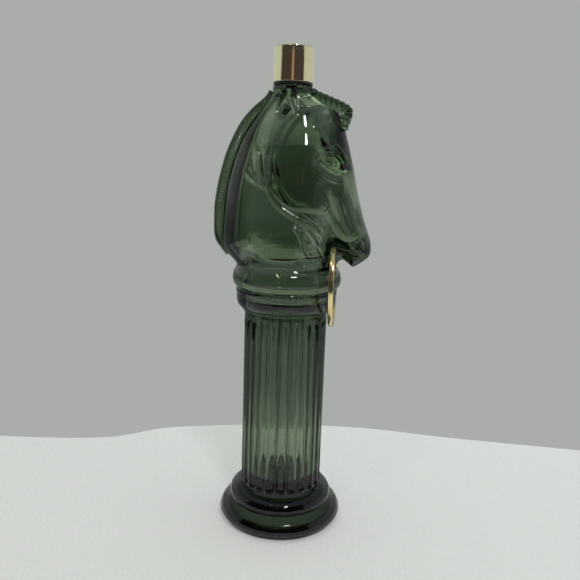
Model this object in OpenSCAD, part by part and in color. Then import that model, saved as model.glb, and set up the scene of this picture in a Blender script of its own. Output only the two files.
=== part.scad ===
// Aftershave bottle shaped as a hitching post: a fluted glass column with a horse's head on top,
// a screw cap on the crown of the head and a metal ring hanging from the corners of the mouth.
// The axis of the column is Z, the foot stands on Z = 0 and the head faces +X.

/* [Overall] */
// Height from the foot to the top of the closed cap
total_h = 267; // [264:1:270]

/* [Base] */
// Radius of the flange of the base
base_r = 35.9; // [35:0.1:37]
// Radius of the ring that the foot stands on
foot_r = 34; // [33:0.5:34.5]
// Height at which the column leaves the base
base_h = 19.5; // [18:0.5:21]
// Height of the hollow under the foot
punt_h = 2.6; // [1:0.2:4]

/* [Column] */
// Radius over the crests between the flutes
column_r = 23.5; // [23:0.1:24]
// Number of flutes
flutes = 24; // [20:2:26]
// Depth of a flute below the crests
flute_d = 1.35; // [0.8:0.05:1.6]
// Width of the flat crest between two flutes
crest_w = 1.3; // [1:0.1:2]
// Height of the lower end of the flutes
flute_z0 = 22; // [21:0.5:26]
// Height of the upper end of the flutes
flute_z1 = 122; // [116:0.5:123]

/* [Collar] */
// Radius of the bowl under the head
bowl_r = 28.3; // [27.5:0.1:29]
// Radius of the round bead under the head
bead_r = 30.7; // [30:0.1:31]
// Height of the widest part of the bead
bead_z = 143; // [142:0.5:144]

/* [Cavity] */
// Radius of the cavity in the column
cavity_r = 18; // [16:0.1:18.5]
// Height of the floor of the cavity
cavity_z0 = 24; // [22:0.5:30]

/* [Neck finish and cap] */
// Radius of the neck under the thread
neck_r = 7.8; // [7.6:0.05:7.9]
// Radius of the bore of the neck
bore_r = 5.2; // [5:0.1:5.4]
// Pitch of the screw thread
pitch = 3.175; // [3:0.025:3.2]
// Height of the thread ridges
thread_h = 1.05; // [0.8:0.05:1.1]
// Outer radius of the cap at its lower edge
cap_r = 10.86; // [10.8:0.02:11]
// Height of the closed cap, skirt included
cap_h = 19.5; // [19:0.5:20]
// Sheet thickness of the metal shell of the cap
shell_t = 0.45; // [0.3:0.05:0.5]

/* [Ring] */
// Radius of the ring to the middle of its bar
ring_r = 23.4; // [23.2:0.1:23.6]
// Radius of the bar of the ring
bar_r = 1.5; // [1.3:0.1:1.6]
// Radius of the two pivot tips
pivot_r = 1.2; // [1:0.05:1.25]
// Radial clearance of a pivot tip in its socket
pivot_gap = 0.06; // [0.03:0.01:0.09]

/* [Hidden] */
$fn = 96;

glass = "#5a6e58";
gold = "#c9a24a";
black_plastic = "#17171a";
natural_plastic = "#d9d6c8";
foam = "#ece9e0";

// Levels of the base
flange_z = 4.8;      // widest part of the flange
flange_edge_z = 2.8; // lower edge of the flange
step_r = 29.7;       // groove between the flange and the upper ring of the base
step_z = 12;
foot_in_r = 25;      // inner edge of the ring that the foot stands on

// Levels of the collar
column_top_z = 125;
groove_z = 138.3;    // groove between the bowl and the bead
groove_r = 28;
bead_top_z = 150;    // plane on which the head begins
bead_top_r = 28.6;

// Levels of the neck finish and the cap
cap_z0 = total_h - cap_h;
shoulder_z = 246.8;  // flat crown of the head around the neck
bore_z0 = 240;       // inside the cavity of the head
liner_t = 1;
insert_top_t = 1.2;
plug_flange_t = 0.6; // flange of the pour plug on the rim of the neck
plug_depth = 6;
plug_hole_r = 1.6;
rim_gap = 0.05;      // left between the plug and the liner when the cap is closed
neck_top_z = total_h - shell_t - insert_top_t - liner_t - rim_gap - plug_flange_t;
thread_seg = 36;     // segments in a turn of thread
neck_thread_z = 253.4;
neck_thread_turns = 2.3;
insert_thread_z = neck_thread_z - pitch / 2;
insert_thread_turns = 2;
thread_root = 0.5;   // depth that a ridge is sunk into its wall
thread_gap = 0.25;   // radial clearance between a crest and the facing wall
skirt_show = 1.2;    // black skirt left showing under the shell
skirt_r = cap_r - 0.25;
insert_bore_r = neck_r + thread_h + thread_gap;

// Pivot of the ring
pivot_x = 26.4;
pivot_z = 161.4;
end_y = 12;          // middle of the bar where the ring ends
pivot_in_y = 8.2;    // inner end of a pivot tip
seat_y = 10;         // flat floor of the recess at each corner of the mouth
seat_r = 3.4;
socket_deep = 0.3;   // room left beyond the inner end of a pivot tip
cut_l = 10;          // length of the cuts at the corners of the mouth
ring_drop = sqrt(ring_r * ring_r - end_y * end_y);
ring_z = pivot_z - ring_drop;

// Points of a round stretch of outline, centre c, radii [rx, ry], from angle a0 to a1 in n steps
function arc(c, r, a0, a1, n) =
    [for (i = [0:n]) let (a = a0 + (a1 - a0) * i / n) [c[0] + r[0] * cos(a), c[1] + r[1] * sin(a)]];

function smooth(t) = t <= 0 ? 0 : t >= 1 ? 1 : t * t * (3 - 2 * t);

// ---- Loft of horizontal sections ----
// A station is [z, back x, front x, greatest half width, narrowing towards the nose, bluntness].
function column_of(table, k) = [for (s = table) [s[0], s[k]]];
function station(table, z) = [for (k = [1:5]) lookup(z, column_of(table, k))];

// Half width of a section at the fraction u of its length, 0 at the back and 1 at the nose
widest = 0.4;
function half_width(u, w, narrow, blunt) =
    u < widest
        ? w * pow(max(0, 1 - pow((widest - u) / widest, 2.2)), 0.5)
        : let (v = (u - widest) / (1 - widest))
          w * (1 - narrow * smooth(v / 0.55)) * pow(max(0, 1 - pow(v, blunt)), 0.5);

// One closed section with 2m points, back to nose on the +Y side and back again on the other
function section(table, z, m) =
    let (s = station(table, z))
    [for (i = [0:2 * m - 1])
        let (u = (1 - cos(180 * i / m)) / 2, side = i < m ? 1 : -1)
        [s[0] + (s[1] - s[0]) * u, (i == 0 || i == m ? 0 : side * half_width(u, s[2], s[3], s[4])), z]];

// Solid through closed rings of equal length, capped at both ends
module loft(rings) {
    n = len(rings[0]);
    k = len(rings);
    points = [for (r = rings) each r];
    sides = [for (j = [0:k - 2], i = [0:n - 1])
        let (a = j * n + i, b = j * n + (i + 1) % n)
        each [[a, b + n, a + n], [a, b, b + n]]];
    polyhedron(points, concat([[for (i = [n - 1:-1:0]) i]], sides,
        [[for (i = [0:n - 1]) (k - 1) * n + i]]));
}

head_outside = [
    // z,  back,  front, half, narrow, blunt
    [149, -28,   27.2,  27.4, 0.00, 2.1],
    [150, -28.2, 27.4,  27.3, 0.00, 2.1],
    [153, -32,   28.6,  27,   0.10, 2.4],
    [156, -34.5, 43.5,  26.4, 0.56, 5],
    [159, -36.5, 46.4,  25.8, 0.58, 6],
    [163, -37.8, 46.6,  25,   0.57, 6],
    [168, -37.8, 45.2,  24.2, 0.54, 6],
    [174, -37.4, 43,    23.6, 0.52, 6],
    [182, -36.8, 40.2,  23.2, 0.50, 5],
    [192, -36,   37.4,  22.8, 0.46, 5],
    [202, -34.8, 35.4,  22,   0.42, 5],
    [212, -32.4, 33,    20.4, 0.38, 5],
    [222, -28.8, 30.3,  18.4, 0.36, 5],
    [229, -25,   31.6,  16.4, 0.40, 4],
    [235, -19.6, 33.2,  14.6, 0.45, 4],
    [239, -16,   28.6,  13.4, 0.35, 3],
    [243, -12.6, 19,    12.2, 0.15, 2.4],
    [246, -11.2, 11.6,  11.2, 0.00, 2.1],
    [shoulder_z, -10.9, 10.9, 10.9, 0.00, 2.1]];

head_inside = [
    // z,  back,  front, half, narrow, blunt
    [146.4, -21, 21,    21,   0.00, 2.1],
    [147, -21.2, 21,    21,   0.00, 2.1],
    [156, -27,   21,    20.4, 0.05, 2.2],
    [165, -30,   24,    19.4, 0.15, 2.4],
    [180, -30,   27,    18.2, 0.20, 2.6],
    [195, -29,   27,    17.4, 0.20, 2.6],
    [210, -26,   24.5,  15.4, 0.20, 2.6],
    [222, -21,   21,    12.8, 0.20, 2.6],
    [232, -14.5, 17,    9.8,  0.20, 2.4],
    [240, -8.6,  9,     7.6,  0.10, 2.2],
    [244, -6.6,  6.6,   6.6,  0.00, 2.1]];

module head_solid() {
    levels = concat([149, 150, 151.5, 153, 154.5], [for (z = [156:3:240]) z], [242, 244, 246, shoulder_z]);
    loft([for (z = levels) section(head_outside, z, 18)]);
}

module head_cavity() {
    levels = concat([146.4, 147, 150, 153], [for (z = [156:5:236]) z], [240, 244]);
    loft([for (z = levels) section(head_inside, z, 14)]);
}

// ---- Mane, ears and chin ----
mane_t = 9;
mane_depth = 7;      // from the crest to the inner edge
mane_in_x = -9;      // the inner edge stays behind this
ear_tip = [0, 10.8, 245];
ear_tip_r = 0.8;
ear_root = [4, 13, 236.5];
ear_root_r = 1.2;
chin_low = [37.5, 0, 155.5];
chin_low_r = 4.4;
chin_high = [40, 0, 160];
chin_high_r = 5;
mane_outer = [[149.5, -30], [151, -31.6], [154, -34.4], [158, -37.2], [162, -40.4], [165, -41.6],
    [170, -42.1], [176, -42.1], [183, -41.8], [190, -41], [197, -39.7], [204, -37.8], [211, -35.7],
    [218, -32.8], [224, -29.9], [230, -26], [235, -21.6], [240, -15.8], [244.5, -11.4]];

module mane() {
    outline = [for (p = mane_outer) [p[1], p[0]]];
    inner = [for (i = [len(mane_outer) - 1:-1:0])
        [min(mane_outer[i][1] + mane_depth, mane_in_x), mane_outer[i][0]]];
    rotate([90, 0, 0])
        linear_extrude(mane_t, center = true)
            polygon(concat(outline, inner));
}

module ear(side) {
    hull() {
        translate([ear_tip[0], side * ear_tip[1], ear_tip[2]]) sphere(ear_tip_r, $fn = 12);
        translate([-ear_root[0], side * ear_root[1], ear_root[2]]) sphere(ear_root_r, $fn = 12);
        translate([ear_root[0], side * ear_root[1], ear_root[2]]) sphere(ear_root_r, $fn = 12);
    }
}

module chin() {
    hull() {
        translate(chin_low) scale([1.1, 2, 1]) sphere(chin_low_r, $fn = 20);
        translate(chin_high) sphere(chin_high_r, $fn = 20);
    }
}

// ---- Glass ----
module outer_profile() {
    polygon(concat(
        [[0, punt_h], [foot_in_r - 6, punt_h], [foot_in_r, 0]],
        arc([foot_r - 1.2, 1.2], [1.2, 1.2], -90, -10, 4),
        [[base_r - 0.3, flange_edge_z]],
        arc([base_r - 6.2, flange_z - 0.6], [6.2, step_z - flange_z], 5, 80, 8),
        [[step_r - 0.2, step_z]],
        arc([step_r - 5.4, step_z + 1.6], [5.8, base_h - step_z - 1.6], 10, 84, 8),
        [[column_r, base_h + 0.6], [column_r, column_top_z - 0.6], [column_r + 0.5, column_top_z - 0.4]],
        arc([column_r + 0.5, column_top_z + 0.4], [0.8, 0.8], -80, 60, 4),
        arc([bowl_r - 4.2, 132], [4.2, 6], -75, 0, 8),
        [[bowl_r, 135.2], [bowl_r + 0.3, 135.5], [bowl_r + 0.3, groove_z - 0.9], [groove_r, groove_z - 0.4],
            [groove_r, groove_z + 0.1]],
        arc([bead_r - 4, bead_z], [4, 5], -62, 0, 6),
        arc([bead_r - 4, bead_z], [4, bead_top_z - bead_z], 12, 84, 6),
        [[0, bead_top_z]]));
}

module cavity_profile() {
    floor_r = 5;
    polygon(concat(
        [[0, cavity_z0 + 1.2], [cavity_r - floor_r, cavity_z0]],
        arc([cavity_r - floor_r, cavity_z0 + floor_r], [floor_r, floor_r], -80, 0, 5),
        [[cavity_r, 130]],
        [for (i = [1:5]) [cavity_r + (22 - cavity_r) * smooth(i / 5), 130 + 12 * i / 5]],
        [[22, 147], [0, 147]]));
}

module flute_cutters() {
    half = (2 * PI * column_r / flutes - crest_w) / 2;
    chord_x = sqrt(column_r * column_r - half * half);
    rise = flute_d - (column_r - chord_x);
    cutter_r = (half * half + rise * rise) / (2 * rise);
    for (i = [0:flutes - 1])
        rotate([0, 0, (i + 0.5) * 360 / flutes])
            translate([column_r - flute_d + cutter_r, 0, 0]) {
                translate([0, 0, flute_z0 + half])
                    cylinder(r = cutter_r, h = flute_z1 - flute_z0 - 2 * half);
                translate([0, 0, flute_z0 + half]) sphere(cutter_r);
                translate([0, 0, flute_z1 - half]) sphere(cutter_r);
            }
}

// Helical ridge: root radius r0, crest radius r1, from height z0, with tapered ends
module thread_ridge(r0, r1, z0, turns) {
    n = round(turns * thread_seg);
    half_root = 0.85;
    half_crest = 0.4;
    fade = 6;
    rings = [for (i = [0:n])
        let (a = 360 * i / thread_seg, z = z0 + pitch * i / thread_seg,
             f = max(0.15, min(1, i / fade, (n - i) / fade)), rc = r0 + (r1 - r0) * f)
        [for (p = [[r0, -half_root], [rc, -half_crest], [rc, half_crest], [r0, half_root]])
            [p[0] * cos(a), p[0] * sin(a), z + p[1]]]];
    loft(r1 > r0 ? rings : [for (i = [n:-1:0]) rings[i]]);
}

module neck_finish() {
    rotate_extrude()
        polygon(concat(
            [[0, shoulder_z - 2], [neck_r, shoulder_z - 2], [neck_r, neck_top_z - 0.7]],
            arc([neck_r - 0.7, neck_top_z - 0.7], [0.7, 0.7], 20, 90, 3),
            [[0, neck_top_z]]));
    thread_ridge(neck_r - thread_root, neck_r + thread_h, neck_thread_z, neck_thread_turns);
}

module glass_bottle() {
    color(glass, 0.6)
    difference() {
        union() {
            difference() {
                rotate_extrude() outer_profile();
                flute_cutters();
            }
            head_solid();
            mane();
            ear(-1);
            ear(1);
            chin();
            neck_finish();
        }
        rotate_extrude() cavity_profile();
        head_cavity();
        translate([0, 0, bore_z0]) cylinder(r = bore_r, h = total_h - bore_z0);
        for (side = [-1, 1]) {
            translate([pivot_x, side * seat_y, pivot_z]) rotate([-side * 90, 0, 0])
                cylinder(r = seat_r, h = cut_l);
            translate([pivot_x, side * (pivot_in_y - socket_deep), pivot_z]) rotate([-side * 90, 0, 0])
                cylinder(r = pivot_r + pivot_gap, h = cut_l);
        }
    }
}

// ---- Closure ----
module pour_plug() {
    flange_r = neck_r - 0.8;
    color(natural_plastic)
    rotate_extrude()
        polygon([[plug_hole_r, neck_top_z - plug_depth], [bore_r - 0.3, neck_top_z - plug_depth],
            [bore_r, neck_top_z - plug_depth + 0.6], [bore_r, neck_top_z], [flange_r, neck_top_z],
            [flange_r, neck_top_z + plug_flange_t], [plug_hole_r, neck_top_z + plug_flange_t]]);
}

module cap_liner() {
    color(foam)
    translate([0, 0, total_h - shell_t - insert_top_t - liner_t])
        cylinder(r = insert_bore_r - 0.1, h = liner_t);
}

module cap_insert() {
    top = total_h - shell_t;
    wall_r = cap_r - shell_t;
    color(black_plastic) {
        rotate_extrude()
            polygon([[insert_bore_r, cap_z0], [skirt_r, cap_z0], [skirt_r, cap_z0 + skirt_show],
                [wall_r, cap_z0 + skirt_show], [wall_r - 0.2, top - 1], [wall_r - 1.2, top],
                [0, top], [0, top - insert_top_t], [insert_bore_r, top - insert_top_t]]);
        thread_ridge(insert_bore_r + thread_root, neck_r + thread_gap, insert_thread_z,
            insert_thread_turns);
    }
}

module cap_shell() {
    edge = 1.2;
    top_r = cap_r - 0.2;
    z0 = cap_z0 + skirt_show;
    color(gold)
    rotate_extrude()
        polygon(concat(
            [[cap_r - shell_t, z0], [cap_r, z0]],
            arc([top_r - edge, total_h - edge], [edge, edge], 0, 90, 6),
            [[0, total_h], [0, total_h - shell_t]],
            [[cap_r - shell_t - 1.2, total_h - shell_t], [cap_r - shell_t - 0.2, total_h - shell_t - 1]]));
}

// ---- Ring ----
module mouth_ring() {
    open = asin(end_y / ring_r);
    color(gold) {
        translate([pivot_x, 0, ring_z])
            rotate([0, 90, 0])
                rotate([0, 0, 180 + open])
                    rotate_extrude(angle = 360 - 2 * open)
                        translate([ring_r, 0]) circle(bar_r, $fn = 32);
        for (side = [-1, 1]) {
            translate([pivot_x, side * end_y, pivot_z]) sphere(bar_r + 0.15);
            translate([pivot_x, side * pivot_in_y, pivot_z]) rotate([-side * 90, 0, 0])
                cylinder(r = pivot_r, h = end_y - pivot_in_y);
        }
    }
}

glass_bottle();
pour_plug();
cap_liner();
cap_insert();
cap_shell();
mouth_ring();
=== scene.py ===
"""Aftershave bottle: a fluted glass post with a horse's head, a screw cap and a ring at the mouth.

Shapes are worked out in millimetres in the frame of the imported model, and put in place in metres.
"""
from math import acos, asin, atan2, cos, degrees, pi, radians, sin, sqrt, tan
import bmesh
import bpy
import numpy as np
import openvdb
from mathutils import Matrix, Vector


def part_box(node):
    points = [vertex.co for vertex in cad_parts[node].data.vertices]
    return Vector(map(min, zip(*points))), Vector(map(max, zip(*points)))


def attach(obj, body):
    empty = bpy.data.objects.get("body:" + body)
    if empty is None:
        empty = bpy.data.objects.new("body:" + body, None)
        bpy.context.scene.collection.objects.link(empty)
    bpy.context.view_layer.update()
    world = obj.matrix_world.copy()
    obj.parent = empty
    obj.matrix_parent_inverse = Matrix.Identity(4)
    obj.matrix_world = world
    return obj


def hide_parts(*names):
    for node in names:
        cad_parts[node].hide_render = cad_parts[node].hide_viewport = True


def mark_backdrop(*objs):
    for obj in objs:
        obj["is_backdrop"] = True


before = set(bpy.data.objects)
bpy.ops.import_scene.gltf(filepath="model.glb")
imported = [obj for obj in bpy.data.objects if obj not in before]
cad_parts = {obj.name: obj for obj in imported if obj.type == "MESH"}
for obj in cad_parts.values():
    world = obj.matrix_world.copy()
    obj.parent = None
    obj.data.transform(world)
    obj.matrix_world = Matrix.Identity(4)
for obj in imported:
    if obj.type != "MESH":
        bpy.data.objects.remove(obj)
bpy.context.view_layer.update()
MM = 0.001

# ---------------------------------------------------------------- sizes, mm
TOTAL_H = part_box("cap_shell")[1][2] / MM
NECK_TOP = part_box("glass_bottle")[1][2] / MM
CAP_Z0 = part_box("cap_insert")[0][2] / MM
SHELL_Z0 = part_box("cap_shell")[0][2] / MM
CAP_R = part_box("cap_shell")[1][0] / MM
COLUMN_R = 23.5
CAVITY_R = 17.0
LOW_CAVITY_R = 19.0         # the wall is thinner low in the column
TAPER_Z, TAPER_H = 50, 50   # where the cavity narrows from one to the other
NECK_R = 7.8
BORE_R = 5.2
PITCH = 3.175
THREAD_H = 1.05
THREAD_Z = 253.4            # start of the thread of the neck
THREAD_ROOT = 0.5           # depth that a thread is sunk into its wall
THREAD_GAP = 0.25           # between a crest and the facing wall
THREAD_HALF_W = (0.85, 0.52, 0.28)     # half width of a thread at its root, side and crest
THREAD_FADE = 12            # steps over which an end of a thread fades out
NECK_TURNS, CAP_TURNS = 2.3, 2         # length of the threads
SHELL_T = 0.45              # sheet of the gold shell
PIVOT = (26.4, 161.4)       # x and z of the axis of the ring
SEAT_Y = 10.0               # flat seat at each corner of the mouth
SEAT_R = 2.2
SOCKET_Y = 7.9              # inner end of the blind socket of a pivot tip
SOCKET_R = 1.26
CUT_Y = 22.0                # outer end of the cuts at the corners of the mouth
TIP_Y = 8.2                 # inner end of a pivot tip
TIP_R = 1.19
RING_R = 23.4
RING_END_Y = 12.0
BAR_WIDER, BAR_DEEPER = 0.31, 0.13     # how much the flattened bar exceeds a tip
TIP_CHAMFER = 0.3
SHOULDER_Z = 246.8
HEAD_FLOOR_Z = 142.0        # the head ends inside the bead
BEAD_Z = 143
BEAD_CORE_R = 26.7          # the bead is round outside this
HEAD_BLEND = 1.8            # softness of the joint of head and bead
CAVITY_FLOOR_Z, CAVITY_TOP_Z = 140.0, 245.5
THROAT_Z0, THROAT_Z1 = 122.0, 155.0    # where the cavities of column and head join
CAVITY_BLEND = 2.5
FIELD_LIMIT = 5.0           # fields are cut off this far from their zero level


# ---------------------------------------------------------------- curves and solids
def smooth(t):
    t = np.clip(t, 0.0, 1.0)
    return t * t * (3 - 2 * t)


def curve_through(points, per_span=8, closed=False):
    """Points of a smooth curve (Catmull-Rom) through the given ones."""
    p = np.array(points, float)
    if closed:
        p = np.vstack([p[-1], p, p[0], p[1]])
    else:
        p = np.vstack([2 * p[0] - p[1], p, 2 * p[-1] - p[-2]])
    out = []
    for a, b, c, d in zip(p[:-3], p[1:-2], p[2:-1], p[3:]):
        for t in np.arange(per_span) / per_span:
            out.append(0.5 * (2 * b + (c - a) * t + (2 * a - 5 * b + 4 * c - d) * t * t
                              + (3 * b - 3 * c + d - a) * t ** 3))
    if not closed:
        out.append(p[-2])
    return np.array(out)


def rounded(corners, step_deg=12.0):
    """Outline through corners (r, z) or (r, z, fillet); a fillet replaces its corner by an arc."""
    out = []
    n = len(corners)
    for i, corner in enumerate(corners):
        p = np.array(corner[:2], float)
        fillet = corner[2] if len(corner) > 2 else 0.0
        if not fillet:
            out.append(p)
            continue
        a = np.array(corners[i - 1][:2], float) - p
        b = np.array(corners[(i + 1) % n][:2], float) - p
        la, lb = np.linalg.norm(a), np.linalg.norm(b)
        a, b = a / la, b / lb
        half = acos(np.clip(np.dot(a, b), -1, 1)) / 2
        reach = min(fillet / tan(half), 0.49 * la, 0.49 * lb)
        r = reach * tan(half)
        centre = p + (a + b) / np.linalg.norm(a + b) * (r / sin(half))
        start, end = p + a * reach - centre, p + b * reach - centre
        a0, a1 = atan2(start[1], start[0]), atan2(end[1], end[0])
        turn = (a1 - a0 + pi) % (2 * pi) - pi
        k = max(2, int(abs(degrees(turn)) / step_deg))
        for a in (a0 + turn * j / k for j in range(k + 1)):
            out.append(centre + r * np.array([cos(a), sin(a)]))
    return np.array(out)


def mesh_object(name, verts, faces, scale=MM):
    mesh = bpy.data.meshes.new(name)
    mesh.from_pydata((np.asarray(verts, float) * scale).tolist(), [],
                     [list(map(int, f)) for f in faces])
    mesh.update()
    obj = bpy.data.objects.new(name, mesh)
    bpy.context.scene.collection.objects.link(obj)
    return obj


def grid_faces(rows, cols, wrap_rows=False, wrap_cols=True):
    faces = []
    for i in range(rows if wrap_rows else rows - 1):
        for j in range(cols if wrap_cols else cols - 1):
            a, b = i * cols + j, i * cols + (j + 1) % cols
            c, d = ((i + 1) % rows) * cols + (j + 1) % cols, ((i + 1) % rows) * cols + j
            faces.append((a, b, c, d))
    return faces


def end_faces(rows, cols):
    """The two ends of a grid whose rows are closed loops."""
    return [tuple(range(cols - 1, -1, -1)), tuple((rows - 1) * cols + k for k in range(cols))]


def pole_faces(rows, segments):
    """Fans from the two vertices after a grid, on the axis, to its first and last rows."""
    low, high, last = rows * segments, rows * segments + 1, (rows - 1) * segments
    return ([(low, (j + 1) % segments, j) for j in range(segments)]
            + [(high, last + j, last + (j + 1) % segments) for j in range(segments)])


def revolve(name, profile, segments=128, scale=MM):
    """Closed solid turned about Z. A profile that starts and ends on the axis is capped there."""
    prof = np.asarray(profile, float)
    on_axis = prof[0, 0] < 1e-6 and prof[-1, 0] < 1e-6
    ring = prof[1:-1] if on_axis else prof
    angles = np.arange(segments) * 2 * pi / segments
    verts = np.concatenate([
        np.stack([r * np.cos(angles), r * np.sin(angles), np.full(segments, z)], 1)
        for r, z in ring])
    faces = grid_faces(len(ring), segments, wrap_rows=not on_axis)
    if on_axis:
        verts = np.vstack([verts, [0, 0, prof[0, 1]], [0, 0, prof[-1, 1]]])
        faces += pole_faces(len(ring), segments)
    return mesh_object(name, verts, faces, scale)


def thread_ridge(name, r0, r1, z0, turns, per_turn=72):
    """Helical ridge with root radius r0 and crest radius r1 that fades out at both ends."""
    n = int(turns * per_turn)
    root_w, side_w, crest_w = THREAD_HALF_W
    verts = []
    for i in range(n + 1):
        a = 2 * pi * i / per_turn
        f = max(0.12, smooth(min(1.0, i / THREAD_FADE, (n - i) / THREAD_FADE)))
        rc = r0 + (r1 - r0) * f
        z = z0 + PITCH * i / per_turn
        side = 0.82 * r1 + 0.18 * r0 if f > 0.9 else rc * 0.82 + r0 * 0.18
        for r, dz in ((r0, -root_w), (side, -side_w), (rc, -crest_w),
                      (rc, crest_w), (side, side_w), (r0, root_w)):
            verts.append((r * cos(a), r * sin(a), z + dz))
    faces = grid_faces(n + 1, 6) + end_faces(n + 1, 6)
    if r1 > r0:
        faces = [tuple(reversed(f)) for f in faces]
    return mesh_object(name, verts, faces, 1.0)


def baked(obj):
    """Replaces the object's mesh by what its modifiers make of it."""
    graph = bpy.context.evaluated_depsgraph_get()
    mesh = bpy.data.meshes.new_from_object(obj.evaluated_get(graph))
    obj.modifiers.clear()
    old = obj.data
    obj.data = mesh
    bpy.data.meshes.remove(old)
    return obj


def boolean(obj, operation, other):
    """Unites obj with another solid, or cuts that out of it, and uses the other up."""
    mod = obj.modifiers.new("cut", "BOOLEAN")
    mod.operation = operation
    mod.solver = "MANIFOLD"
    mod.object = other
    baked(obj)
    bpy.data.objects.remove(other)


def outward(obj):
    """Turns every face outward by the sign of the enclosed volume."""
    bm = bmesh.new()
    bm.from_mesh(obj.data)
    if bm.calc_volume(signed=True) < 0:
        bmesh.ops.reverse_faces(bm, faces=bm.faces)
    bm.to_mesh(obj.data)
    bm.free()
    return obj


def smooth_shaded(obj, sharp_deg=35.0):
    obj.data.shade_smooth()
    obj.data.set_sharp_from_angle(angle=radians(sharp_deg))
    return obj


def finish_piece(obj, body, slot, *nodes):
    """Puts a piece on its body, in place of the CAD nodes that it replaces."""
    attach(obj, body)
    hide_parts(*nodes)
    return obj


# ---------------------------------------------------------------- relief of the head
class Relief:
    """Fields over the plane of the profile: x along the head, z up."""

    def __init__(self, x0, x1, z0, z1, step):
        self.step = step
        self.xs = np.arange(x0, x1, step)
        self.zs = np.arange(z0, z1, step)
        self.x, self.z = np.meshgrid(self.xs, self.zs, indexing="ij")

    def along_z(self, table):
        zs, values = np.transpose(table)
        return np.interp(self.z, zs, values)

    def distance(self, path, closed=False):
        """Distance to a path, and the length along it of the nearest point."""
        p = np.asarray(path, float)
        if closed:
            p = np.vstack([p, p[:1]])
        best = np.full(self.x.shape, 1e9)
        where = np.zeros(self.x.shape)
        length = 0.0
        for a, b in zip(p[:-1], p[1:]):
            d = b - a
            size = float(np.hypot(*d))
            if size < 1e-9:
                continue
            t = np.clip(((self.x - a[0]) * d[0] + (self.z - a[1]) * d[1]) / size ** 2, 0, 1)
            dist = np.hypot(self.x - a[0] - t * d[0], self.z - a[1] - t * d[1])
            nearer = dist < best
            best = np.where(nearer, dist, best)
            where = np.where(nearer, length + t * size, where)
            length += size
        return best, where, length

    def inside(self, outline):
        """Distance to a closed outline, positive inside it."""
        p = np.asarray(outline, float)
        best, _, _ = self.distance(p, closed=True)
        odd = np.zeros(self.x.shape, bool)
        for a, b in zip(p, np.roll(p, -1, axis=0)):
            crosses = (a[1] > self.z) != (b[1] > self.z)
            if a[1] != b[1]:
                odd ^= crosses & (self.x < (b[0] - a[0]) * (self.z - a[1]) / (b[1] - a[1]) + a[0])
        return np.where(odd, best, -best)

    def stroke(self, points, width, height, fade=0.25, sharp=2.0):
        """A ridge, or a groove when height is negative, along a smooth path."""
        dist, along, length = self.distance(curve_through(points))
        ends = (smooth(along / (fade * length + 1e-9))
                * smooth((length - along) / (fade * length + 1e-9)))
        return height * np.exp(-(dist / width) ** sharp) * (0.25 + 0.75 * ends)

    def bump(self, centre, size, height, tilt=0.0, sharp=2.0):
        c, s = cos(radians(tilt)), sin(radians(tilt))
        dx, dz = self.x - centre[0], self.z - centre[1]
        u, v = (dx * c + dz * s) / size[0], (-dx * s + dz * c) / size[1]
        return height * np.exp(-(u * u + v * v) ** (sharp / 2))


# Side views (x, z); half widths and shares of them by height (z, value)
HEAD_OUTLINE = [
    (-27.2, 120), (-27.2, 146), (-28.6, 150.5), (-32.4, 154.4), (-36.0, 159), (-37.3, 165),
    (-37.2, 173), (-36.6, 183), (-35, 195), (-32.3, 206), (-28.4, 217), (-24, 225.5), (-19.5, 232),
    (-14.6, 238.5), (-11.6, 243.4), (-10.9, 248), (-10.9, 275), (10.9, 275), (10.9, 248),
    (11.6, 244.6), (15.4, 241.4), (21, 238.4), (25.6, 235.6), (28, 232), (28.6, 227.5),
    (30, 222.5), (31.8, 216.6), (33.5, 210.2), (35.2, 203.5), (36.8, 195.3), (38.6, 187.9),
    (41, 179.7), (43.4, 172.8), (45.5, 167.3), (46.4, 162), (46.1, 158.3), (44.2, 155.8),
    (40.4, 153), (37.2, 151.2), (35.6, 151.8), (32.4, 154.4), (30.6, 154.8), (28.6, 153.2),
    (27.4, 150), (27, 146), (27, 120)]
HEAD_HALF = [
    (120, 27), (147, 27), (150, 27), (155, 26.2), (165, 24.8), (180, 23.2), (195, 22.2), (205, 21),
    (215, 19.2), (225, 16.6), (233, 14), (240, 12.2), (244, 11.3), (248, 10.9), (270, 10.9)]
FACE_SHARE = [
    (150, 1), (153, 0.7), (157, 0.43), (168, 0.43), (185, 0.52), (200, 0.6), (215, 0.58),
    (228, 0.56), (238, 0.62), (244, 0.9), (247, 1)]
CAVITY_OUTLINE = [
    (-20.4, 120), (-20.4, 142), (-22.4, 148), (-26, 153), (-28.8, 158), (-30.2, 165), (-30, 178),
    (-29, 190), (-27.3, 200), (-24.8, 209), (-21.8, 218), (-18.6, 226), (-14.6, 233),
    (-10.4, 238.6), (-7, 243), (-6, 249), (-6, 265), (6, 265), (6, 249), (7, 243.6), (11, 240.6),
    (17.5, 237), (21.6, 232.4), (22.4, 226), (22.2, 219.5), (23.4, 213), (26.8, 207.6),
    (30.6, 202.8), (33.2, 195), (36, 185), (38.2, 175), (40.2, 168.5), (40.6, 163.2),
    (38.6, 159.8), (34.8, 160.6), (31.2, 163.0), (27.4, 164.8), (24.8, 163.4), (24.2, 158),
    (23.6, 152.5), (21.8, 147), (20.4, 142), (20.4, 120)]
THROAT = [
    (122, 16.95), (125, 17.3), (128, 18.6), (132, 21.6), (136, 24), (140, 25.2), (144, 25.2),
    (148, 24.4), (152, 23), (156, 21.6)]
CAVITY_SHARE = [
    (128, 0.77), (142, 0.77), (148, 0.87), (154, 0.81), (160, 0.755), (166, 0.745), (172, 0.765),
    (178, 0.78), (185, 0.78), (200, 0.79), (215, 0.76), (234, 0.66), (240, 0.62), (244, 0.52),
    (247, 0.48)]

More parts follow.
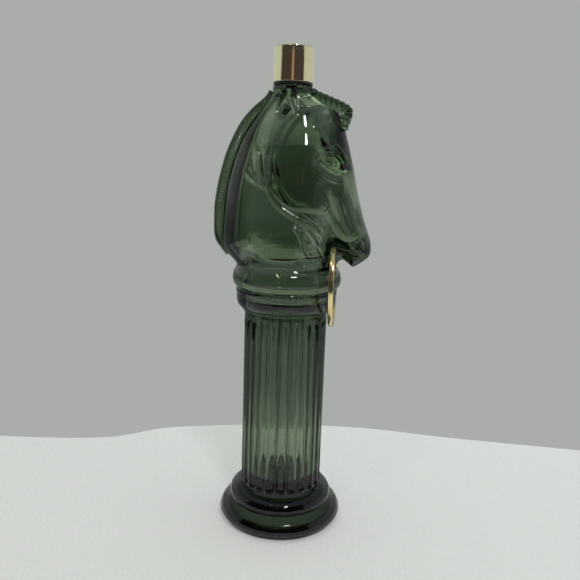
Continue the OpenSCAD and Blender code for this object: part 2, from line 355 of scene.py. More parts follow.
MANE_CREST = [
    (-12.2, 245), (-14.6, 241.4), (-19.8, 236.9), (-24, 232.7), (-27.5, 228.2), (-30.3, 223.3),
    (-33, 217.8), (-35.7, 211), (-37.8, 204), (-39.7, 196.3), (-41.1, 188.5), (-41.9, 181.4),
    (-42, 174), (-41.9, 167.8), (-41.2, 164.2), (-40.1, 161.7), (-37.1, 157.8), (-34.4, 154.6)]
FORELOCK_CREST = [
    (11.6, 246.2), (14.6, 244.5), (21.4, 241.9), (28.3, 239), (31.6, 237), (32.9, 234.9),
    (32.8, 232), (31.3, 227.6), (30.4, 224.6)]


def hair_ridge(name, crest, half_width, depth_in, pitch, notch, outline_share, samples, sharpness):
    """Cropped ridge of hair: a bar along the crest with a notch across it at every pitch."""
    line = curve_through(crest, 24)
    steps = np.concatenate([[0], np.cumsum(np.linalg.norm(np.diff(line, axis=0), axis=1))])
    count = int(round(steps[-1] / pitch)) * samples
    along = np.linspace(0, steps[-1], count + 1)
    x, z = np.interp(along, steps, line[:, 0]), np.interp(along, steps, line[:, 1])
    tangent = np.stack([np.gradient(x), np.gradient(z)], 1)
    tangent /= np.linalg.norm(tangent, axis=1)[:, None]
    inward = np.stack([-tangent[:, 1], tangent[:, 0]], 1)
    head_middle = np.array([2.0, 205.0])
    if np.dot(inward[count // 2], head_middle - (x[count // 2], z[count // 2])) < 0:
        inward = -inward
    # Half section of the bar: depth below the crest, share of the half width
    section = [(depth_in, 0.8), (2.2, 1), (1.6, 0.985), (0.5, 0.92), (0.15, 0.84), (0, 0.7)]
    section += [(0, 0.35), (0, 0.0)]
    section += [(d, -w) for d, w in reversed(section[:-1])]
    verts = []
    for i in range(count + 1):
        cut_in = notch * (abs(cos(pi * i / samples)) ** sharpness)
        for d, w in section:
            deep = d >= depth_in - 0.01
            y = w * (half_width - (0 if deep else cut_in))
            d = d if deep else d + cut_in * outline_share
            verts.append((x[i] + inward[i, 0] * d, y, z[i] + inward[i, 1] * d))
    n = len(section)
    faces = grid_faces(count + 1, n) + end_faces(count + 1, n)
    return outward(mesh_object(name, verts, faces, 1.0))


def head_relief(grid):
    """Half thickness of the head, with every feature of the face and neck."""
    base = grid.along_z(HEAD_HALF)
    start = grid.along_z([(150, 8), (160, 5), (175, 6), (190, 9), (210, 9), (225, 7), (240, 5)])
    reach = grid.along_z([(150, 17), (165, 17), (185, 20), (210, 20), (225, 19), (240, 14)])
    share = grid.along_z(FACE_SHARE)
    half = base * (1 - (1 - share) * smooth((grid.x - start) / reach))
    plain = half.copy()

    face = grid.inside(curve_through([
        (-5, 240), (-8, 226), (-9.6, 212), (-9.8, 200), (-8.6, 192), (-5, 186), (1.5, 180.6),
        (8.6, 176.6), (15.2, 172.8), (18.4, 166), (21, 158), (30, 140), (60, 150), (60, 240),
        (30, 260), (0, 250)],
        closed=True))
    half += 1.7 * smooth((face + 1.5) / 3.0) * smooth((226 - grid.z) / 30) - 0.6
    disc = grid.inside(curve_through([
        (-8.4, 204), (-7, 193), (-2.6, 186.6), (4, 182.6), (12, 182), (19.6, 181), (24, 177),
        (27, 172), (31, 167.4), (38, 168), (44, 176), (44, 214), (26, 236), (4, 232), (-6, 218)],
        closed=True))
    half += 1.3 * smooth((disc + 1.2) / 2.6)
    # Edge of the jaw, and the folds that gather behind and under it
    half += grid.stroke([(-9, 196), (-7.4, 189.6), (-3, 184), (4, 179), (11, 175.4), (16.4, 171.6),
                         (18.4, 167)], 1.2, 1.5)
    half += grid.stroke([(-17, 215), (-14.6, 207), (-13, 200.4), (-9.4, 194)], 1.3, 1.2)
    half += grid.stroke([(-21.5, 201), (-17.6, 197.6), (-12.4, 194.6), (-9, 192.6)], 1.2, 1.0)
    half += grid.stroke([(-19, 209), (-16.4, 203), (-12.6, 197)], 1.0, -0.9)
    half += grid.stroke([(-12.6, 212), (-11.4, 204), (-9.9, 197)], 1.0, -0.9)
    half += grid.stroke([(4, 175), (8.5, 170), (10.8, 163.7), (14.5, 157), (18, 152)], 1.3, 1.4)
    half += grid.stroke([(8.6, 173), (13, 167.6), (16, 162), (19.2, 156)], 1.1, -1.0)
    half += grid.stroke([(12, 172), (16.4, 166), (19, 160), (22, 154)], 1.2, 0.9)
    # Eye: socket, ball, lids and the fold under it
    half += grid.bump((23.4, 206.4), (9.5, 7.2), -2.0, -32, 3)
    half += grid.bump((24.4, 206.6), (5.0, 3.0), 1.9, -32, 3)
    half += grid.stroke([(16.4, 209.6), (20, 211.6), (24.4, 211.6), (28, 208.6), (30, 203.6)],
                        0.8, 1.1)
    half += grid.stroke([(16.8, 208.6), (19.4, 205.8), (24.4, 202.6), (29.6, 202)], 0.75, 0.8)
    half += grid.stroke([(15.8, 204), (20.6, 199.6), (26.6, 197.6), (29.6, 200)], 1.0, 0.9)
    half += grid.bump((25.4, 206.6), (0.9, 0.9), -0.8)
    # Brow
    half += grid.stroke([(19, 215.4), (24.6, 216), (29.2, 211.4), (31.6, 206)], 1.4, 1.7)
    half += grid.stroke([(14.4, 226), (18.4, 219.6), (22, 214)], 1.7, 1.6)
    # Long muscles and bones of the face
    half += grid.stroke([(26, 196), (29, 186), (33, 175), (36, 168)], 1.6, 0.9)
    half += grid.stroke([(21, 194), (24, 184), (29, 173)], 1.5, -0.6)
    half += grid.stroke([(32.4, 200), (34.6, 190), (38, 178), (40.6, 171)], 1.1, -0.7)
    # Nostril and mouth
    half += grid.bump((40.6, 163.6), (4.6, 4.8), 1.9, 20)
    half += grid.stroke([(39.4, 166.6), (41.6, 167), (43.2, 164.6), (42.4, 161.6)],
                        0.6, -1.0, sharp=3)
    half += grid.stroke([(27.5, 162.4), (31, 160.4), (36, 158.8), (42, 158.2), (47, 158.6)],
                        0.6, -1.0, 0.12, 3)
    half += grid.stroke([(30, 158.4), (36, 156.6), (43, 156.4)], 1.4, 0.6)
    # Ear: a smooth leaf between two slits
    half += grid.stroke([(-0.5, 245.4), (-0.8, 241), (-1.0, 236)], 2.4, 1.3, 0.3)
    half += grid.stroke([(-1.8, 244.2), (-3.2, 240), (-4.6, 236), (-6.0, 232.4)], 1.05, -3.4, 0.35)
    half += grid.stroke([(0.9, 243.6), (1.9, 240), (2.9, 236.6), (4.0, 233.4)], 0.95, -3.2, 0.35)
    half = plain + (half - plain) * smooth((grid.z - 149.5) / 5)
    return np.maximum(half, 3.0), plain


def rounded_sheet(y, half, inside, edge, power=2.0):
    """Rough signed distance to a sheet of the given half thickness, its rim rounded over edge."""
    rim = np.maximum(0.0, 1 - inside / edge)[:, None, :]
    h = half[:, None, :]
    level = ((y / h) ** power + rim ** power) ** (1 / power) - 1
    return level * np.minimum(half, edge)[:, None, :]


def soft_union(a, b, k):
    t = np.clip(0.5 + 0.5 * (b - a) / k, 0, 1)
    return b * (1 - t) + a * t - k * t * (1 - t)


def evened(verts, quads, rounds=6):
    """Vertices with the ripple of the sampling grid smoothed out and the size kept (Taubin)."""
    edges = np.concatenate([quads[:, [i, (i + 1) % 4]] for i in range(4)])
    count = np.bincount(edges[:, 0], minlength=len(verts)).astype(float)[:, None]
    for weight in (0.5, -0.53) * rounds:
        total = np.stack([
            np.bincount(edges[:, 0], weights=verts[edges[:, 1], k], minlength=len(verts))
            for k in range(3)], 1)
        verts = verts + weight * (total / count - verts)
    return verts


def polygonised(name, field, grid, y0):
    """Closed mesh of the zero level of a field given for y >= 0 and mirrored to the other side."""
    whole = np.concatenate([field[:, :0:-1, :], field], axis=1)
    vol = openvdb.FloatGrid(FIELD_LIMIT)
    whole = np.clip(whole, -FIELD_LIMIT, FIELD_LIMIT)
    vol.copyFromArray(np.ascontiguousarray(whole, dtype=np.float32))
    points, quads = vol.convertToQuads(0.0)
    verts = (evened(points.astype(float), quads) * grid.step
             + np.array([grid.xs[0], -y0, grid.zs[0]]))
    return outward(mesh_object(name, verts, quads, 1.0))


def head_bodies(step=0.36):
    """The outside of the head with its bead, and the cavity in it, as two closed solids."""
    grid = Relief(-44, 48, 120, 251, step)
    rows = int(32 / step)
    y = (np.arange(rows) * step)[None, :, None]
    y_max = (rows - 1) * step
    z = grid.z[:, None, :]
    rho = np.hypot(grid.x[:, None, :], y)
    relief, plain = head_relief(grid)
    outline = grid.inside(curve_through(HEAD_OUTLINE, 5, closed=True))
    front_edge = grid.along_z([(149, 27), (153, 16), (158, 8), (170, 8.5), (190, 11), (215, 11),
                               (230, 12), (244, 11)])
    back_edge = grid.along_z([(150, 27), (200, 24), (225, 18), (240, 12), (244, 11)])
    edge = back_edge + (front_edge - back_edge) * smooth((grid.x + 6) / 26)
    head = rounded_sheet(y, relief, outline, edge)
    head = np.maximum(head, np.maximum(HEAD_FLOOR_Z - z, z - SHOULDER_Z))
    bead_half = np.where(z > BEAD_Z, 7.0, 5.0)
    bead = (np.hypot(np.maximum(rho - BEAD_CORE_R, 0) / 4, (z - BEAD_Z) / bead_half) - 1) * 4.5
    outside = soft_union(head, bead, HEAD_BLEND)

    inner_outline = grid.inside(curve_through(CAVITY_OUTLINE, 5, closed=True))
    inner_half = np.maximum(plain * grid.along_z(CAVITY_SHARE) - 0.4, 2.5)
    back_inner = grid.along_z([(146, 22), (152, 20), (160, 14), (200, 14), (225, 11), (240, 7),
                               (247, 6)])
    front_inner = grid.along_z([(146, 22), (150, 14), (155, 5), (160, 3.6), (175, 5), (215, 8),
                                (240, 7), (247, 6)])
    inner_edge = back_inner + (front_inner - back_inner) * smooth((grid.x + 4) / 22)
    cavity = rounded_sheet(y, inner_half, inner_outline, inner_edge)
    cavity = np.maximum(cavity, np.maximum(CAVITY_FLOOR_Z - z, z - CAVITY_TOP_Z))
    throat = rho - grid.along_z(curve_through(THROAT, 6))[:, None, :]
    throat = np.maximum(throat, np.maximum(THROAT_Z0 - z, z - THROAT_Z1))
    cavity = soft_union(cavity, throat, CAVITY_BLEND)
    return (polygonised("head", outside, grid, y_max),
            polygonised("head_cavity", cavity, grid, y_max))


# ---------------------------------------------------------------- glass
FLUTES = 24
PER_FLUTE = 24              # segments round the post for each flute
CREST_W = 1.2
FLUTE_D = 1.65
CREST_ROUND = 0.12          # rounding of the edges of a crest
FLUTE_Z0, FLUTE_Z1 = 22.0, 122.0
SHAFT_Z0, SHAFT_Z1 = 20.3, 124.5       # rows of the profile that the flutes can reach


def arc(cx, cz, rx, rz, a0, a1, n):
    t = np.radians(np.linspace(a0, a1, n + 1))
    return [(cx + rx * c, cz + rz * s) for c, s in zip(np.cos(t), np.sin(t))]


def post_profile():
    """Outline of base, column and collar, from the hollow under the foot up to inside the bead."""
    low = rounded([(0, 2.6), (18, 2.6, 6), (25.2, 0, 0.8), (33.6, 0, 1.4), (34.9, 2.4, 0.6)])
    rim = curve_through([(35.3, 2.8), (35.78, 3.9), (35.78, 4.9), (35.45, 6.2), (34.8, 7.6),
                         (33.8, 9.0), (32.4, 10.3), (30.9, 11.3)], 4)
    base = [*low, *map(tuple, rim),
            *rounded([(30.9, 11.5), (29.5, 12.1, 0.5), (29.95, 13.2)])[1:-1],
            *arc(24.3, 13.6, 5.8, 5.9, 6, 84, 16), (COLUMN_R + 0.15, 19.7)]
    column = [(COLUMN_R, z) for z in [20.4, *np.arange(21, 26, 0.3), *np.linspace(27, 117, 16),
                                      *np.arange(117.6, 123, 0.3), 124.3]]
    collar = [*arc(24, 125.4, 0.8, 0.8, -80, 60, 6), *arc(24.1, 132, 4.2, 6, -75, 0, 12),
              (28.3, 134.9), (28.5, 135.3), (28.6, 135.6), (28.6, 137.1), (28.4, 137.6),
              (28.05, 137.9), (28.05, 138.3), (28.05, 138.55), (25, 139.2), (0, 139.2)]
    return np.array(base + column + collar)


def fluted_radius(angle, z):
    """Radius of the column where a hollow flute with round ends runs, else its plain radius."""
    pitch = 2 * pi / FLUTES
    half = (pitch * COLUMN_R - CREST_W) / 2
    rise = FLUTE_D - (COLUMN_R - sqrt(COLUMN_R ** 2 - half ** 2))
    cutter = (half ** 2 + rise ** 2) / (2 * rise)
    centre = COLUMN_R - FLUTE_D + cutter
    off = (angle / pitch - 0.5 - np.round(angle / pitch - 0.5)) * pitch
    end = np.maximum(0.0, np.maximum(FLUTE_Z0 + half - z, z - FLUTE_Z1 + half))
    root = cutter ** 2 - end ** 2 - (centre * np.sin(off)) ** 2
    flute = np.where(root > 0, centre * np.cos(off) - np.sqrt(np.maximum(root, 0)), COLUMN_R + 1)
    return soft_union(COLUMN_R, flute, CREST_ROUND)


def post():
    """The one solid of base, column and collar, with its flutes."""
    prof = post_profile()
    segments = FLUTES * PER_FLUTE
    angles = np.arange(segments) * 2 * pi / segments
    rows = []
    for r, z in prof[1:-1]:
        radius = np.full(segments, r)
        if SHAFT_Z0 < z < SHAFT_Z1 and abs(r - COLUMN_R) < 0.01:
            radius = fluted_radius(angles, z)
        rows.append(np.stack([radius * np.cos(angles), radius * np.sin(angles),
                              np.full(segments, z)], 1))
    verts = np.concatenate(rows + [[[0, 0, prof[0, 1]]], [[0, 0, prof[-1, 1]]]])
    faces = grid_faces(len(rows), segments) + pole_faces(len(rows), segments)
    return outward(mesh_object("post", verts, faces, 1.0))


def tube_cutter(name, x, y0, y1, z, r, segments=48):
    """Cylinder along Y."""
    obj = revolve(name, [(0, y0), (r, y0), (r, y1), (0, y1)], segments, 1.0)
    obj.data.transform(Matrix.Translation((x, 0, z)) @ Matrix.Rotation(radians(-90), 4, "X"))
    return outward(obj)


def glass_bottle():
    outside = post()
    head, head_cavity = head_bodies()
    boolean(outside, "UNION", head)
    boolean(outside, "UNION", hair_ridge(
        "mane", MANE_CREST, half_width=5.4, depth_in=8.0, pitch=1.75, notch=1.0,
        outline_share=0.28, samples=8, sharpness=3.5))
    boolean(outside, "UNION", hair_ridge(
        "forelock", FORELOCK_CREST, half_width=6.2, depth_in=7.0, pitch=3.2, notch=0.9,
        outline_share=0.4, samples=12, sharpness=4.0))
    neck_low, bore_low, bore_high = 243, 241, 270
    neck_outline = rounded([(0, neck_low), (NECK_R, neck_low), (NECK_R, NECK_TOP, 0.7),
                            (0, NECK_TOP)])
    neck = outward(revolve("neck", neck_outline, 96, 1.0))
    boolean(neck, "UNION", outward(thread_ridge("thread", NECK_R - THREAD_ROOT, NECK_R + THREAD_H,
                                                THREAD_Z, NECK_TURNS)))
    boolean(outside, "UNION", neck)
    hollow = [(0, 25.2), (8, 24.6)]
    hollow += [*rounded([(8, 24.6), (LOW_CAVITY_R, 24.2, 5), (LOW_CAVITY_R, 40)])[1:-1]]
    hollow += [(LOW_CAVITY_R + (CAVITY_R - LOW_CAVITY_R) * smooth((z - TAPER_Z) / TAPER_H), z)
               for z in range(40, 125, 6)]
    hollow += [(0, 124)]
    cavity = outward(revolve("cavity", hollow, 480, 1.0))
    boolean(cavity, "UNION", head_cavity)
    bore = [(0, bore_low), (BORE_R, bore_low), (BORE_R, bore_high), (0, bore_high)]
    boolean(cavity, "UNION", outward(revolve("bore", bore, 96, 1.0)))
    boolean(outside, "DIFFERENCE", cavity)
    for s in (-1, 1):
        for name, inner, r in (("seat", SEAT_Y, SEAT_R), ("socket", SOCKET_Y, SOCKET_R)):
            y0, y1 = sorted((s * inner, s * CUT_Y))
            boolean(outside, "DIFFERENCE", tube_cutter(name, PIVOT[0], y0, y1, PIVOT[1], r))
    outside.name = "bottle_glass"
    outside.data.transform(Matrix.Scale(MM, 4))
    smooth_shaded(outside, 40)
    return finish_piece(outside, "bottle", "green_glass", "glass_bottle")


# ---------------------------------------------------------------- closure
def pour_plug():
    z = NECK_TOP
    prof = rounded([(1.6, z - 6, 0.3), (4.7, z - 6, 0.3), (BORE_R, z - 5.2, 0.3), (BORE_R, z),
                    (7, z), (7, z + 0.6, 0.25), (3.2, z + 0.6, 0.3), (2.2, z - 0.4, 0.4),
                    (1.6, z - 0.6, 0.3)])
    obj = smooth_shaded(outward(revolve("orifice_plug", prof, 96)))
    return finish_piece(obj, "bottle", "natural_plastic", "pour_plug")


def cap_liner():
    lo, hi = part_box("cap_liner")
    r, z0, z1 = hi[0] / MM, lo[2] / MM, hi[2] / MM
    prof = rounded([(0, z0), (7.9, z0), (8.0, z0 + 0.06, 0.1), (r, z0, 0.15), (r, z1, 0.1),
                    (0, z1)])
    obj = smooth_shaded(outward(revolve("sealing_liner", prof, 96)))
    return finish_piece(obj, "liner", "liner_foam", "cap_liner")


def cap_insert():
    bore = NECK_R + THREAD_H + THREAD_GAP
    top = TOTAL_H - SHELL_T
    roof = top - 1.2
    skirt = CAP_R - 0.25
    wall = CAP_R - SHELL_T
    prof = rounded([(bore, CAP_Z0 + 0.3, 0.2), (bore + 0.3, CAP_Z0), (skirt, CAP_Z0, 0.3),
                    (skirt, SHELL_Z0, 0.1), (wall, SHELL_Z0, 0.1), (wall - 0.2, top - 1),
                    (wall - 1, top, 0.2), (0, top), (0, roof), (bore, roof, 0.3)])
    start = int(np.argmax(prof[:, 0] < 1e-6))
    prof = np.vstack([prof[start + 1:], prof[:start + 1]])
    obj = outward(revolve("cap_insert_moulding", prof, 144, 1.0))
    ridge = outward(thread_ridge("ridge", bore + THREAD_ROOT, NECK_R + THREAD_GAP,
                                 THREAD_Z - PITCH / 2, CAP_TURNS))
    boolean(obj, "UNION", ridge)
    obj.name = "cap_insert_moulding"
    obj.data.transform(Matrix.Scale(MM, 4))
    return finish_piece(smooth_shaded(obj), "cap", "black_plastic", "cap_insert")


def cap_shell():
    r = CAP_R
    top = TOTAL_H
    dished = top - 0.06
    prof = rounded([(0, top - SHELL_T), (r - 1.45, top - SHELL_T, 0.6), (r - 0.65, top - 1.45),
                    (r - SHELL_T, SHELL_Z0, 0.1), (r, SHELL_Z0, 0.18), (r, SHELL_Z0 + 0.5),
                    (r - 0.2, top, 1.0), (r - 1.8, top), (r - 2.1, dished), (0, dished)],
                   step_deg=9)
    obj = smooth_shaded(outward(revolve("cap_gold_shell", prof, 192)))
    return finish_piece(obj, "cap", "gold_cap", "cap_shell")


# ---------------------------------------------------------------- ring
def mouth_ring():
    """Open ring of flattened bar that hangs from two round pivot tips."""
    centre_z = PIVOT[1] - sqrt(RING_R ** 2 - RING_END_Y ** 2)
    open_deg = degrees(asin(RING_END_Y / RING_R))
    arc_path = [(RING_R * sin(radians(a)), centre_z + RING_R * cos(radians(a)))
                for a in np.linspace(open_deg + 5, 360 - open_deg - 5, 120)]
    tip = [(TIP_Y, PIVOT[1]), (8.5, PIVOT[1]), (9.8, PIVOT[1]), (10.6, PIVOT[1] - 0.02),
           (11.4, PIVOT[1] - 0.18)]
    path = tip + arc_path + [(-y, z) for y, z in reversed(tip)]
    path = np.array(path)
    path = np.vstack([path[:1], curve_through(path[1:-1], 3), path[-1:]])
    tangent = np.gradient(path, axis=0)
    tangent /= np.linalg.norm(tangent, axis=1)[:, None]
    sides = 28
    turn = np.arange(sides) * 2 * pi / sides
    verts = []
    for (y, z), (ty, tz) in zip(path, tangent):
        flat = float(smooth((min(np.hypot(abs(y) - TIP_Y, z - PIVOT[1]), 6) - 2.0) / 2.5))
        power = 2 / (2 + 0.9 * flat)
        wide, deep = TIP_R + BAR_WIDER * flat, TIP_R + BAR_DEEPER * flat
        if abs(y) < TIP_Y + 0.2 and z > PIVOT[1] - 1:    # end of a tip
            wide, deep = wide - TIP_CHAMFER, deep - TIP_CHAMFER
        for a in turn:
            u = wide * np.sign(cos(a)) * abs(cos(a)) ** power
            v = deep * np.sign(sin(a)) * abs(sin(a)) ** power
            verts.append((PIVOT[0] + u, y - tz * v, z + ty * v))
    rows = len(path)
    faces = grid_faces(rows, sides) + end_faces(rows, sides)
    ring = outward(mesh_object("ring_bar", verts, faces))
    return finish_piece(smooth_shaded(ring, 50), "ring", "gold_ring", "mouth_ring")


# ---------------------------------------------------------------- materials
GLASS_TINT = (0.52, 0.612, 0.465)
GLASS_DENSITY = 372.0       # times (1 - tint) it is the absorption per metre, tuned with the wall


class Nodes:
    """Short way to make a node material."""

    def __init__(self, name):
        self.material = bpy.data.materials.new(name)
        self.material.use_nodes = True
        self.tree = self.material.node_tree
        self.tree.nodes.clear()
        self.out = self.add("ShaderNodeOutputMaterial")
        self.shader = self.add("ShaderNodeBsdfPrincipled")
        self.link(self.shader.outputs[0], self.out.inputs["Surface"])

    def add(self, kind, **values):
        node = self.tree.nodes.new(kind)
        for key, value in values.items():
            setattr(node, key, value)
        return node

    def link(self, a, b):
        self.tree.links.new(a, b)

    def set(self, **values):
        for key, value in values.items():
            self.shader.inputs[key.replace("_", " ")].default_value = value

    def noise(self, scale, detail=3.0, rough=0.5, stretch=(1, 1, 1)):
        coords = self.add("ShaderNodeTexCoord")
        mapping = self.add("ShaderNodeMapping")
        mapping.inputs["Scale"].default_value = stretch
        texture = self.add("ShaderNodeTexNoise")
        texture.inputs["Scale"].default_value = scale
        texture.inputs["Detail"].default_value = detail
        texture.inputs["Roughness"].default_value = rough
        self.link(coords.outputs["Object"], mapping.inputs[0])
        self.link(mapping.outputs[0], texture.inputs["Vector"])
        return texture.outputs[0]

    def span(self, value, low, high, to_low, to_high):
        node = self.add("ShaderNodeMapRange")
        for key, v in zip(("From Min", "From Max", "To Min", "To Max"),
                          (low, high, to_low, to_high)):
            node.inputs[key].default_value = v
        self.link(value, node.inputs["Value"])
        return node.outputs[0]

    def ramp(self, value, *stops):
        node = self.add("ShaderNodeValToRGB")
        elements = node.color_ramp.elements
        while len(elements) < len(stops):
            elements.new(0.5)
        for element, (position, colour) in zip(elements, stops):
            element.position = position
            element.color = (*colour, 1)
        self.link(value, node.inputs[0])
        return node.outputs[0]

    def bump(self, height, strength, distance, before=None):
        node = self.add("ShaderNodeBump")
        node.inputs["Strength"].default_value = strength
        node.inputs["Distance"].default_value = distance
        self.link(height, node.inputs["Height"])
        if before is not None:
            self.link(before, node.inputs["Normal"])
        return node.outputs[0]


def glass_material():
    m = Nodes("bottle_green_glass")
    m.set(Base_Color=(1, 1, 1, 1), Transmission_Weight=1.0, IOR=1.51, Metallic=0.0)
    m.link(m.span(m.noise(90, 4), 0.55, 0.85, 0.0, 0.01), m.shader.inputs["Roughness"])
    m.link(m.bump(m.noise(30, 0), 0.1, 0.0001), m.shader.inputs["Normal"])
    volume = m.add("ShaderNodeVolumeAbsorption")
    volume.inputs["Color"].default_value = (*GLASS_TINT, 1)
    volume.inputs["Density"].default_value = GLASS_DENSITY
    m.link(volume.outputs[0], m.out.inputs["Volume"])
    return m.material


def gold_material(name, base, worn, rough, scratch_stretch):
    m = Nodes(name)
    m.set(Metallic=1.0)
    patches = m.noise(160, 4)
    m.link(m.ramp(patches, (0.35, base), (0.8, worn)), m.shader.inputs["Base Color"])
    lines = m.noise(900, 3, 0.6, scratch_stretch)
    m.link(m.span(lines, 0.3, 0.8, rough, rough + 0.12), m.shader.inputs["Roughness"])
    m.link(m.bump(lines, 0.08, 0.00003, m.bump(patches, 0.1, 0.0001)), m.shader.inputs["Normal"])
    return m.material


def plastic_material(name, base, rough, grain=600, subsurface=0.0):
    m = Nodes(name)
    texture = m.noise(grain, 4)
    darker = tuple(0.8 * c for c in base)
    m.link(m.ramp(texture, (0.3, darker), (0.7, base)), m.shader.inputs["Base Color"])
    m.link(m.span(m.noise(120, 3), 0.3, 0.7, rough - 0.06, rough + 0.08),
           m.shader.inputs["Roughness"])
    m.link(m.bump(texture, 0.15, 0.00005), m.shader.inputs["Normal"])
    if subsurface:
        m.set(Subsurface_Weight=subsurface, Subsurface_Scale=0.001)
    return m.material


# ---------------------------------------------------------------- pieces
bottle = glass_bottle()
pieces = {
    bottle: glass_material(),
    pour_plug(): plastic_material("natural_polythene", (0.78, 0.76, 0.68), 0.38, 300, 0.3),
    cap_liner(): plastic_material("white_foam", (0.85, 0.84, 0.79), 0.7, 2500),
    cap_insert(): plastic_material("black_moulding", (0.012, 0.012, 0.014), 0.32),
    cap_shell(): gold_material("lacquered_gold", (0.95, 0.90, 0.60), (0.90, 0.82, 0.50),
                               0.05, (1, 1, 0.02)),
    mouth_ring(): gold_material("plated_gold", (0.93, 0.76, 0.42), (0.80, 0.60, 0.28),
                                0.10, (0.05, 1, 1)),
}
for piece, material in pieces.items():
    piece.data.materials.clear()
    piece.data.materials.append(material)


# ---------------------------------------------------------------- studio
def stage_material(name, colour, strength=None, grain=None):
    m = Nodes(name)
    if strength is not None:
        glow = m.add("ShaderNodeEmission")
        glow.inputs["Color"].default_value = (*colour, 1)
        glow.inputs["Strength"].default_value = strength
        m.link(glow.outputs[0], m.out.inputs["Surface"])
        return m.material
    m.set(Base_Color=(*colour, 1), Roughness=0.9)
    if grain:
        m.link(m.bump(m.noise(grain, 5, 0.7), 0.5, 0.004), m.shader.inputs["Normal"])
    return m.material


def cloth():
    """Pale cloth that the bottle stands on, with a rounded far edge."""
    edge = curve_through([(-0.55, 0.05), (-0.4, 0.062), (-0.24, 0.071), (-0.15, 0.084),
                          (-0.11, 0.11), (-0.08, 0.121), (-0.02, 0.136), (0.05, 0.143),
                          (0.12, 0.137), (0.22, 0.133), (0.45, 0.125), (0.55, 0.122)], 6)
    near, thick, r = -0.42, 0.02, 0.01
    verts = []
    for x, far in edge:
        prof = [(near, -thick), (near, 0), (-0.2, 0), (far - 0.012, 0)]
        prof += [(far - r + r * sin(radians(a)), -r + r * cos(radians(a)))
                 for a in range(0, 91, 15)]
        prof += [(far, -thick)]
        verts += [(x, y, z) for y, z in prof]
    n = len(prof)
    faces = grid_faces(len(edge), n) + end_faces(len(edge), n)
    obj = outward(mesh_object("cloth", verts, faces, 1.0))
    smooth_shaded(obj, 40)
    obj.data.materials.append(stage_material("pale_cloth", (0.80, 0.82, 0.81), grain=420))
    obj.location.z = -0.0003    # clear of the foot
    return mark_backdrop(obj)


def reflected_card(name, azimuths, heights, colour):
    """Glowing part of an upright drum that only reflections see, between azimuths from the front;
    it paints a dark reflection, or the copper streak, onto the cap and the glass.
    """
    radius = 0.5
    angles = np.radians(np.linspace(*azimuths, 12))
    verts = [(radius * sin(a), -radius * cos(a), z) for a in angles for z in heights]
    faces = [(2 * i, 2 * i + 2, 2 * i + 3, 2 * i + 1) for i in range(len(angles) - 1)]
    obj = mesh_object(name, verts, faces, 1.0)
    obj.data.materials.append(stage_material(name, colour, 1.0))
    obj.visible_camera = obj.visible_diffuse = obj.visible_transmission = obj.visible_shadow = False
    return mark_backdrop(obj)


def area_light(name, location, target, size, energy, colour=(1, 1, 1)):
    data = bpy.data.lights.new(name, "AREA")
    data.shape = "RECTANGLE"
    data.size, data.size_y = size
    data.energy = energy
    data.color = colour
    obj = bpy.data.objects.new(name, data)
    obj.location = location
    obj.rotation_euler = (Vector(target) - Vector(location)).to_track_quat("-Z", "Y").to_euler()
    bpy.context.scene.collection.objects.link(obj)
    return obj


cloth()
SLATE, BROWN, COPPER = (0.036, 0.044, 0.050), (0.053, 0.040, 0.040), (0.36, 0.22, 0.17)
# Glowing cards, seen only in reflections, paint the dark reflected bands and the copper reflected
# streak onto the gold cap and the glass.
reflected_card("dark_room_low", (-66, 60), (0, 0.28), SLATE)
reflected_card("dark_room_left", (-66, -3), (0.28, 0.42), BROWN)
reflected_card("copper_streak_reflection", (-3, 8), (0.28, 0.42), COPPER)
reflected_card("dark_room_right", (8, 66), (0.28, 0.42), BROWN)
reflected_card("dark_room_high", (-66, 60), (0.42, 0.55), SLATE)
area_light("ceiling", (0.36, -0.80, 1.05), target=(0, 0, 0.1), size=(0.20, 0.15), energy=3.4)
area_light("lamp", (-0.22, -0.52, 1.0), target=(0, 0, 0.1), size=(0.06, 0.06), energy=0.5,
           colour=(1, 0.72, 0.45))
fill = area_light("fill", (0.25, 0.55, 1.3), target=(0, 0, 0), size=(1.2, 1.2), energy=7.0)
fill.visible_glossy = False
fill.data.use_shadow = False

world = bpy.data.worlds.new("studio")
bpy.context.scene.world = world
world.use_nodes = True
tree = world.node_tree
PALE = (0.402, 0.418, 0.402, 1)
COOL = (0.190, 0.222, 0.215, 1)
ROOM_DIM = 0.3              # brightness of the room in front
ROOM_TOP = 0.8              # added brightness overhead
BAND_GAIN = 0.26            # added brightness of the reflected band


def world_math(operation, a, b):
    node = tree.nodes.new("ShaderNodeMath")
    node.operation = operation
    for socket, value in zip(node.inputs, (a, b)):
        if hasattr(value, "node"):
            tree.links.new(value, socket)
        else:
            socket.default_value = value
    return node.outputs[0]


def world_ramp(value, low, high, to_low, to_high):
    node = tree.nodes.new("ShaderNodeMapRange")
    node.interpolation_type = "SMOOTHSTEP"
    for key, v in zip(("From Min", "From Max", "To Min", "To Max"),
                      (low, high, to_low, to_high)):
        node.inputs[key].default_value = v
    tree.links.new(value, node.inputs["Value"])
    return node.outputs[0]


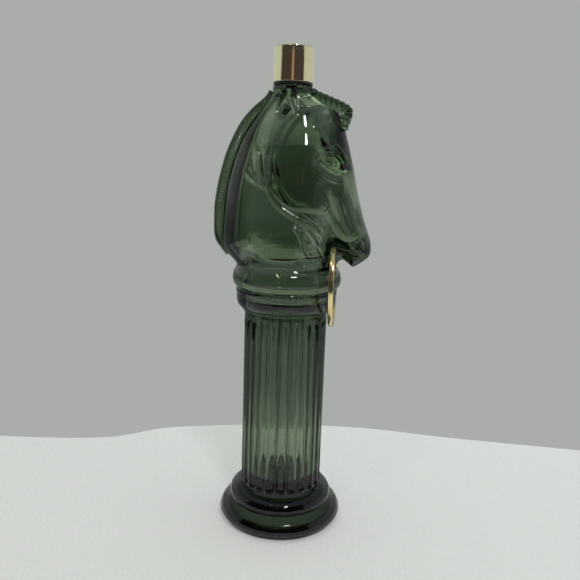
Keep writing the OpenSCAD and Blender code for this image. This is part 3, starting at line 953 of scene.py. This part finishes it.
# Plain pale all round to the camera; for the object it is dimmer in front and brighter overhead
direction = tree.nodes.new("ShaderNodeSeparateXYZ")
tree.links.new(tree.nodes.new("ShaderNodeTexCoord").outputs["Generated"], direction.inputs[0])
front = world_ramp(direction.outputs["Y"], -0.85, -0.1, ROOM_DIM, 1.0)
above = world_ramp(direction.outputs["Z"], 0.3, 0.95, 0.0, ROOM_TOP)
path = tree.nodes.new("ShaderNodeLightPath")
seen, mirrored = path.outputs["Is Camera Ray"], path.outputs["Is Glossy Ray"]
# Reflections see a cool dim room but for a pale band just above the horizon
band = world_math("MULTIPLY", world_ramp(direction.outputs["Z"], -0.02, 0.1, 0.0, 1.0),
                  world_ramp(direction.outputs["Z"], 0.35, 0.6, 1.0, 0.0))
dim = world_math("MULTIPLY", mirrored, world_math("SUBTRACT", 1.0, band))
glint = world_math("MULTIPLY", world_math("MULTIPLY", mirrored, band), BAND_GAIN)
level = world_math("ADD", world_math("MULTIPLY", front, world_math("ADD", glint, 1.0)), above)
level = world_math("ADD", world_math("MULTIPLY", level, world_math("SUBTRACT", 1.0, seen)), seen)
tint = tree.nodes.new("ShaderNodeMix")
tint.data_type = "RGBA"
tree.links.new(dim, tint.inputs["Factor"])
tint.inputs["A"].default_value = PALE
tint.inputs["B"].default_value = COOL
background = tree.nodes["Background"]
tree.links.new(tint.outputs["Result"], background.inputs["Color"])
tree.links.new(level, background.inputs["Strength"])
bpy.context.scene.view_settings.view_transform = "Standard"

# ---------------------------------------------------------------- camera
CAMERA_AT = (0.0410, -0.3336, 0.1960)
CAMERA_YAW, CAMERA_PITCH, CAMERA_ROLL = 6.66, 10.15, 1.93
camera = bpy.data.objects.new("camera", bpy.data.cameras.new("camera"))
bpy.context.scene.collection.objects.link(camera)
camera.data.lens = 37.07
camera.data.sensor_width = 36.0
camera.data.clip_start = 0.01
camera.location = CAMERA_AT
look = (Matrix.Rotation(radians(CAMERA_YAW), 4, "Z")
        @ Matrix.Rotation(radians(90 - CAMERA_PITCH), 4, "X")
        @ Matrix.Rotation(radians(CAMERA_ROLL), 4, "Z"))
camera.rotation_euler = look.to_euler()
bpy.context.scene.camera = camera
